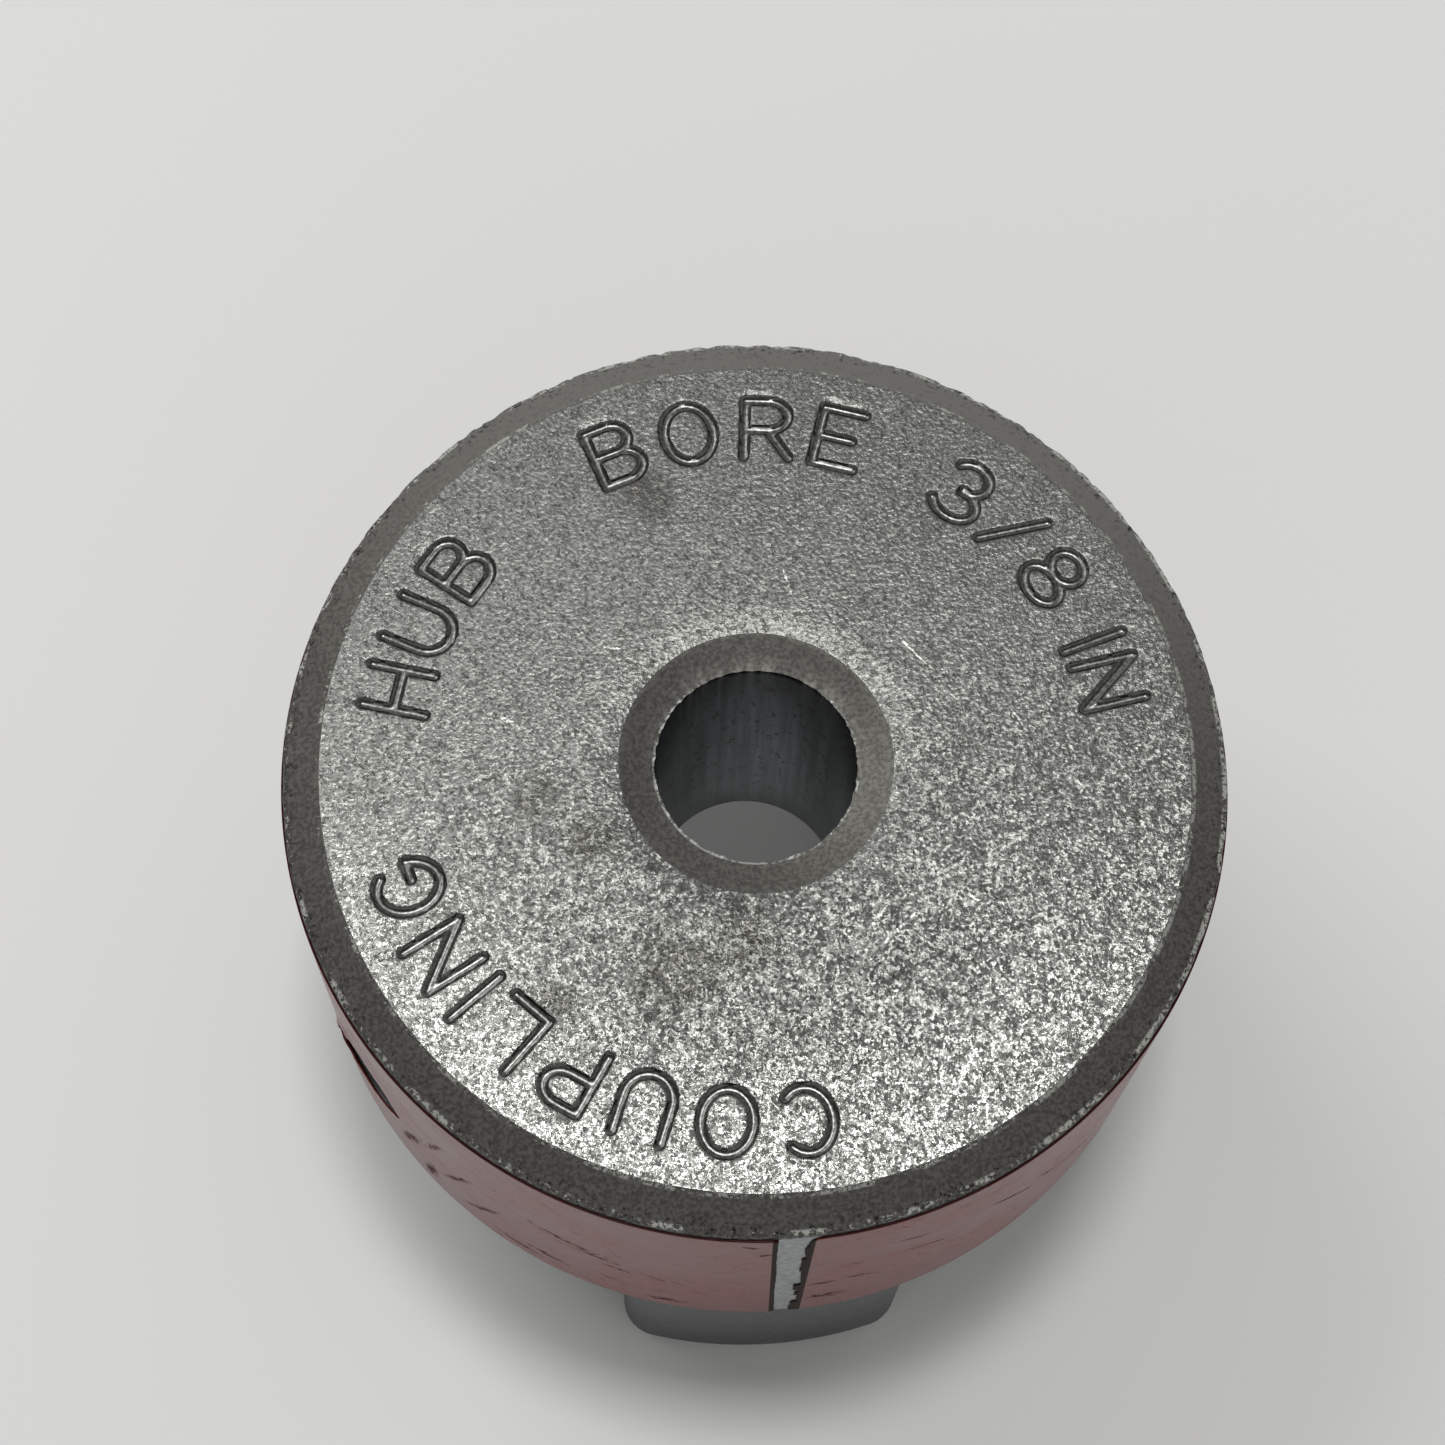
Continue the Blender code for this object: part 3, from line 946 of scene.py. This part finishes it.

# %% [markdown]
# ## Chamfers
# The two chamfers keep the rough skin of the pressing: dark and pitted. The rim's chamfer is painted lighter
# at the back, a painted sheen where it mirrors the bright back of the room. The rim's two edges are knocked
# bright in places. Where the bore was reamed, a thin broken burr stands round its mouth.


# %% Chamfers
def chamfer_colour(mm, hub):
    """Dark grain with black pits, painted lighter at the back of the rim as a painted sheen, and bright
    nicks at 1 - distance from an edge / its width.
    """
    outside = OUTSIDE / MM
    colour = hub.grain.rise(0.35, 0.65).colour_to((0.09, 0.086, 0.078), (0.145, 0.14, 0.128))
    # Painted sheen: the rim's chamfer is made lighter towards the back, where it mirrors the room's bright
    # back.
    back_sheen = (hub.rim * (hub.y + 0.3 * hub.x) / outside).rise(-0.1, 1.1)
    colour = back_sheen.colour_to(colour, (0.21, 0.206, 0.192))
    near_edge = 0.25 + 0.75 * hub.radius.rise(outside - 0.9, outside - 0.25)
    pits = mm.noise(3.6, 3, 0.7).rise(0.54, 0.64) * near_edge
    colour = (0.85 * pits).colour_to(colour, (0.018, 0.017, 0.016))
    on_edge = (1 - abs(hub.radius - outside + 0.13) / 0.2).rise(0, 0.6)
    at_face = (1 - abs(hub.radius - FACE_EDGE / MM - 0.08) / 0.16).rise(0, 0.6) * 0.7
    flecks = (mm.noise(5.5, 3, 0.7) + 0.16 * hub.broken).rise(0.58, 0.66)
    nicks = on_edge.largest(at_face) * flecks * hub.rim
    return nicks.colour_to(colour, (0.5, 0.5, 0.47))


def mouth_burr(mm, hub):
    """A line 1 - distance from the bore's edge / its width, broken up by noise."""
    on_lip = (1 - abs(hub.radius - BORE / MM - 0.05) / 0.09).rise(0, 0.5)
    flecks = mm.noise(3.2, 3, 0.7) - 0.06 * hub.x / hub.radius - 0.08 * hub.y / hub.radius
    return on_lip * flecks.rise(0.5, 0.6) * hub.z.rise(top_of_wall() - 0.5, top_of_wall() - 0.3)


print("chamfers ready")

# %% [markdown]
# ## Bore and side
# Reaming leaves the bore smooth and bluish, with streaks along it and a few black pores, and its wall is
# painted darker below the mouth and low down, as painted shade. Under the film's gap the side is bare and
# pale, and the strip above the film is painted dark, as shade under the rim. The jaws are a dull even grey.


# %% Bore and side
def wall_colour(mm, hub):
    """Streaks with black pits, and painted shade: darker for 5 mm below the mouth and again in the bore's
    lower half.
    """
    top = top_of_wall()
    colour = hub.streaks.rise(0.35, 0.65).colour_to((0.055, 0.068, 0.08), (0.13, 0.158, 0.18))
    # Painted shade: the wall is darkened for 5 mm below the mouth.
    colour = hub.z.rise(top, top - 5).colour_to((0.026, 0.032, 0.038), colour)
    # Painted shade: the bore's lower half is darkened too.
    low_bore_shade = 0.45 * hub.z.rise(top - 9, top - 16)
    colour = low_bore_shade.colour_to(colour, (0.02, 0.024, 0.028))
    pits = mm.stretched(1, 1, 0.6).noise(1.9, 4, 0.75).rise(0.575, 0.6)
    return pits.colour_to(colour, (0.008, 0.008, 0.008))


def side_colour(hub):
    """Three bands by height: the jaws, the side behind the film, and the strip above the film, painted dark
    as shade under the rim.
    """
    jaw_metal = hub.grain.rise(0.3, 0.7).colour_to((0.08, 0.083, 0.087), (0.13, 0.134, 0.138))
    bare_metal = hub.grain.rise(0.3, 0.7).colour_to((0.25, 0.26, 0.27), (0.4, 0.41, 0.42))
    above_jaws = hub.z.rise(JAW_LENGTH / MM + 0.45, JAW_LENGTH / MM + 0.65)
    colour = above_jaws.colour_to(jaw_metal, bare_metal)
    # Painted shade: the strip between the film and the rim is darkened, with pitted grain in it.
    pitted = (hub.grain + 0.08 * hub.broken).rise(0.45, 0.62)
    shaded_strip = pitted.colour_to((0.03, 0.03, 0.028), (0.16, 0.16, 0.15))
    above_film = hub.z.rise(FILM_TOP / MM - 0.05, FILM_TOP / MM + 0.1)
    return above_film.colour_to(colour, shaded_strip)


print("bore and side ready")

# %% [markdown]
# ## Sintered iron
# The finish lays the places' colours over one another. What makes the face look sintered is its glitter:
# each grain faces its own way and flashes under a lamp. So a cell pattern gives every grain a small lean,
# largest at the front, which is added to the normal of an ordinary bump.


# %% Sintered iron
def sintered_iron():
    material, sockets, mm = new_finish("sintered_iron", Metallic=1.0)
    hub = places_on_hub(mm)
    colour = hub.face.colour_to(side_colour(hub), face_colour(mm, hub))
    colour = hub.rim.largest(hub.mouth).colour_to(colour, chamfer_colour(mm, hub))
    colour = hub.wall.colour_to(colour, wall_colour(mm, hub))
    feed(sockets["Base Color"], mouth_burr(mm, hub).colour_to(colour, (0.36, 0.37, 0.35)))
    glitter = (0.36 - 0.68 * hub.y / (OUTSIDE / MM) + 0.9 * (hub.patch - 0.5)).rise(0.05, 1.0)
    rough = 0.5 - (0.14 + 0.06 * glitter) * hub.rough_face + 0.1 * hub.rim
    rough = rough - 0.2 * hub.groove * hub.face - 0.2 * hub.wall
    feed(sockets["Roughness"], rough + 0.12 * (hub.patch - 0.5))
    height = hub.grain * (0.3 + 0.7 * hub.rough_face) * (1 - hub.groove * hub.face) * (1 - hub.wall)
    height = height + hub.streaks * hub.wall * 0.3 - hub.specks * 0.5 * hub.rough_face
    lean = hub.rough_face * (0.07 + 0.24 * glitter)
    tilt = mm.facets(6.5, lean).vector("ADD", mm.facets(3.1, lean * 0.6))
    feed(sockets["Normal"], bumped(height, 0.03 * MM).vector("ADD", tilt).vector("NORMALIZE"))
    return material


iron = sintered_iron()
print("sintered iron:", len(iron.node_tree.nodes), "nodes")

# %% [markdown]
# ## Places on the film
# The film is worn in strokes, so its marks are placed by azimuth and height, as on the flat band. The turn
# is measured from opposite the gap, so that the arctangent's jump falls in the gap, where there is no film.
# A narrow dark margin without red runs along each of the film's ends: partly glue residue, partly a painted
# shadow of the film's cut edge.

# %% Places on the film
SCUFFS = [
    (243.5, 21.5, 2.2, 0.3, 14),
    (247.5, 20.5, 1.4, 0.25, 10),
    (250.5, 19.2, 0.8, 0.2, 10),
    (268.4, 27.8, 0.35, 0.4, 30),
    (266.2, 29.6, 0.5, 0.25, 20),
    (256.5, 13.9, 1.0, 0.4, 0),
    (240.5, 15.2, 1.2, 0.35, 10),
    (236.0, 14.0, 1.5, 0.3, 5),
    (224.0, 23.0, 0.25, 2.2, 20),
    (227.5, 20.0, 0.25, 2.6, 25),
    (231.0, 17.0, 0.3, 2.2, 30),
    (219.0, 19.0, 0.4, 2.5, 20),
    (222.0, 15.5, 0.5, 1.8, 10),
    (276.0, 19.2, 0.7, 0.3, 0),
    (276.8, 15.6, 0.9, 0.6, 0),
    (280.5, 19.4, 0.7, 0.2, 8),
    (286.5, 25.5, 1.0, 0.2, 25),
    (289.5, 22.0, 2.0, 0.15, 30),
    (301.0, 23.0, 2.4, 0.2, 45),
    (307.0, 22.0, 2.0, 0.18, 48),
    (313.0, 20.0, 2.0, 0.18, 45),
]
GAP = (FILM_START + FILM_END - math.tau) / 2


def turned_from_gap(mm):
    """Turn round the side, in radians, from the point opposite the film's gap, and the height in mm."""
    back = GAP - math.pi
    across = mm.dot((-math.sin(back), math.cos(back), 0))
    along = mm.dot((math.cos(back), math.sin(back), 0))
    return across.math("ARCTAN2", across, along), mm.dot((0, 0, 1))


def scuff(turn, height, azimuth, level, *size_and_tilt):
    """A mask of one scuff on the film, from its azimuth and height."""
    middle = (math.radians(azimuth) - GAP) % math.tau - math.pi
    return oval((turn - middle) * (OUTSIDE / MM), height - level, *size_and_tilt)


def residue_and_shade_margins(turn, height):
    """A mask of the strips, about a quarter of a millimetre wide, along the film's two ends: glue residue
    and a painted shadow of the cut edge.
    """
    up = (height - FILM_BOTTOM / MM) / ((FILM_TOP - FILM_BOTTOM) / MM)
    from_start = (turn - (film_start(up) - GAP - math.pi)) * (OUTSIDE / MM)
    from_end = ((film_end(up) - GAP - math.pi) - turn) * (OUTSIDE / MM)
    return from_start.rise(0.3, 0.24).largest(from_end.rise(0.27, 0.21))


def worn_places(mm, flat, ragged, turn, height):
    """The placed scuffs with ragged edges, and slanting scratches and nibbles from noise."""
    worn = 0.0
    for mark in SCUFFS:
        worn = (0.6 * scuff(turn, height, *mark) + 7 * (ragged - 0.54)).largest(worn)
    slant = {"Vector": flat, "Angle": math.radians(38)}
    slanted = flat.node("VectorRotate", {"rotation_type": "Z_AXIS"}, slant)
    worn_part = mm.noise(0.2, 2, 0.5).rise(0.42, 0.58)
    scratches = slanted.stretched(0.35, 2.8, 1).noise(1, 3, 0.75).rise(0.6, 0.66) * worn_part
    nibbles = flat.stretched(1, 2.2, 1).noise(1.2, 4, 0.8).rise(0.67, 0.7)
    return worn.rise(0.1, 0.35).largest(0.55 * scratches).largest(0.85 * nibbles)


print(len(SCUFFS), "scuffs")

# %% [markdown]
# ## Red film, black steel and floor
# The film is a red plastic with a glossy face. From a low angle it mirrors the floor and looks pink, so a
# dark colour alone wouldn't show on it: its scuffs, its margins (glue residue and a painted shadow of the
# cut edge) and the painted shade along its top edge are mixed with a second shader that has no shine. The
# set screw's black oxide is nearly black steel with a dull shine.


# %% Red film, black steel and floor
def red_film():
    material, sockets, mm = new_finish("red_film", IOR=1.27)
    turn, height = turned_from_gap(mm)
    flat = mm.node("CombineXYZ", {}, {0: turn * (OUTSIDE / MM), 1: height, 2: 0.0})
    ragged = flat.stretched(0.7, 1.3, 1).noise(3.2, 5, 0.85)
    faded = mm.noise(0.2, 2, 0.5)
    dark = worn_places(mm, flat, ragged, turn, height)
    # Painted shadow, with glue residue: the dark margins along the film's ends.
    margin_residue_and_shade = residue_and_shade_margins(turn, height)
    # Painted shade: the film's top edge is darkened under the rim.
    top_edge_shade = height.rise(FILM_TOP / MM - 0.16, FILM_TOP / MM - 0.1)
    red = faded.rise(0.3, 0.7).colour_to((0.13, 0.015, 0.012), (0.165, 0.021, 0.017))
    feed(sockets["Base Color"], red)
    feed(sockets["Roughness"], 0.18 + 0.12 * ragged + 0.05 * faded.rise(0.3, 0.7))
    feed(sockets["Normal"], bumped(faded * 2 + 0.05 * ragged - 0.2 * dark, 0.05 * MM))
    tree = material.node_tree
    dull = tree.nodes.new("ShaderNodeBsdfPrincipled")
    feed(dull.inputs["Roughness"], 1.0)
    feed(dull.inputs["Specular IOR Level"], 0.0)
    dull_colour = margin_residue_and_shade.colour_to((0.05, 0.017, 0.013), (0.055, 0.048, 0.045))
    feed(dull.inputs["Base Color"], top_edge_shade.colour_to(dull_colour, (0.03, 0.004, 0.004)))
    mix = tree.nodes.new("ShaderNodeMixShader")
    feed(mix.inputs[0], dark.largest(margin_residue_and_shade).largest(0.9 * top_edge_shade))
    tree.links.new(tree.nodes["Principled BSDF"].outputs[0], mix.inputs[1])
    tree.links.new(dull.outputs[0], mix.inputs[2])
    tree.links.new(mix.outputs[0], tree.nodes["Material Output"].inputs["Surface"])
    return material


def black_oxide():
    material, sockets, mm = new_finish("black_oxide_steel", Metallic=0.9)
    blotch = mm.noise(0.9, 3, 0.6)
    colour = blotch.rise(0.3, 0.7).colour_to((0.018, 0.017, 0.018), (0.045, 0.042, 0.042))
    feed(sockets["Base Color"], colour)
    feed(sockets["Roughness"], 0.34 + 0.22 * blotch)
    feed(sockets["Normal"], bumped(mm.noise(7, 2, 0.6), 0.006 * MM))
    return material


def pale_paint():
    material, sockets, mm = new_finish("pale_paint", Roughness=0.55)
    cloud = mm.noise(0.012, 2, 0.5)
    feed(sockets["Base Color"], cloud.colour_to((0.76, 0.76, 0.755), (0.79, 0.79, 0.785)))
    return material


film, steel, paint = red_film(), black_oxide(), pale_paint()
print("finishes:", iron.name, film.name, steel.name, paint.name)

# %% [markdown]
# ## Riding on the bodies
# The hub and the film ride on the hub's body, and the screw on its own, so that each moves with its joint.
# Each piece gets its finish, and the imported part that it stands for is hidden.

# %% Riding on the bodies
for piece, body, node, finish, slot in (
    (hub_body, "hub", "hub", iron, "sintered_iron"),
    (label_film, "hub", "label_band", film, "red_label"),
    (screw_body, "set_screw", "set_screw", steel, "black_oxide_steel"),
):
    piece.data.materials.clear()
    piece.data.materials.append(finish)
    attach(piece, body)
    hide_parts(node)
    print(piece.name, "rides on", body)

# %% [markdown]
# ## Floor
# The hub stands on a plain pale floor, a thin disc wide enough that its edge is far away. The film and the
# jaws mirror it, so it lights them from below.

# %% Floor
FLOOR_REACH = 5
FLOOR_THICKNESS = 0.01
floor_profile = [(0, 0), (0.3, 0), (FLOOR_REACH, 0), (FLOOR_REACH, -FLOOR_THICKNESS), (0, -FLOOR_THICKNESS)]
floor_points = turned(floor_profile, np.linspace(0, 2 * math.pi, 64, endpoint=False))
floor = place("floor", grid_mesh("floor", floor_points, ring=False))
floor.data.materials.append(paint)
print("floor:", 2 * FLOOR_REACH, "m across")

# %% [markdown]
# ## Light
# Two soft panels light the hub: a window high at the back left, and a small lamp almost overhead, a little
# to the back, which the back face mirrors.


# %% Lights
def panel(name, azimuth, elevation, distance, width, depth, power):
    """An oblong area light that faces the hub from an azimuth and an elevation in degrees."""
    data = bpy.data.lights.new(name, "AREA")
    data.shape = "RECTANGLE"
    data.size = width
    data.size_y = depth
    data.energy = power
    light = bpy.data.objects.new(name, data)
    bpy.context.scene.collection.objects.link(light)
    turn, rise = math.radians(azimuth), math.radians(elevation)
    direction = Vector((math.cos(turn) * math.cos(rise), math.sin(turn) * math.cos(rise), math.sin(rise)))
    facing = direction.to_track_quat("Z", "Y").to_matrix().to_4x4()
    light.matrix_world = Matrix.Translation(direction * distance) @ facing


panel("window", 136, 50, 0.9, 0.5, 0.35, 2.3)
panel("lamp", 80, 85, 1.0, 0.14, 0.12, 3.1)
print("two panels")

# %% [markdown]
# ## Room
# Bare metal shows mostly what stands round it. A room of one brightness would leave the hub flat, so it is a
# formula over the direction: dim overhead, with a pale band low at the back and another in front. The rim's
# front chamfer mirrors the dim part between them, and so stays dark.

# %% Room
world = bpy.data.worlds.new("room")
bpy.context.scene.world = world
world.use_nodes = True
background = world.node_tree.nodes["Background"]
direction = Wire(world.node_tree.nodes.new("ShaderNodeTexCoord").outputs["Generated"])
right, back, up = [direction.node("SeparateXYZ", {}, {"Vector": direction}, out=axis) for axis in range(3)]
low = up.rise(0.85, 0.3) * up.rise(0.0, 0.2)
behind = (back + 0.35 * right).rise(-0.1, 0.98)
ahead = up.rise(0.66, 0.4) * up.rise(0.12, 0.36) * (0.15 * right - back).rise(-0.2, 0.7)
brightness = 0.14 + 0.12 * low + 0.85 * low * behind + 0.95 * ahead
feed(background.inputs["Color"], (brightness / 1.6).colour_to((0, 0, 0), (1.6, 1.6, 1.57)))
bpy.context.scene.view_settings.view_transform = "Standard"
print("room:", len(world.node_tree.nodes), "nodes")
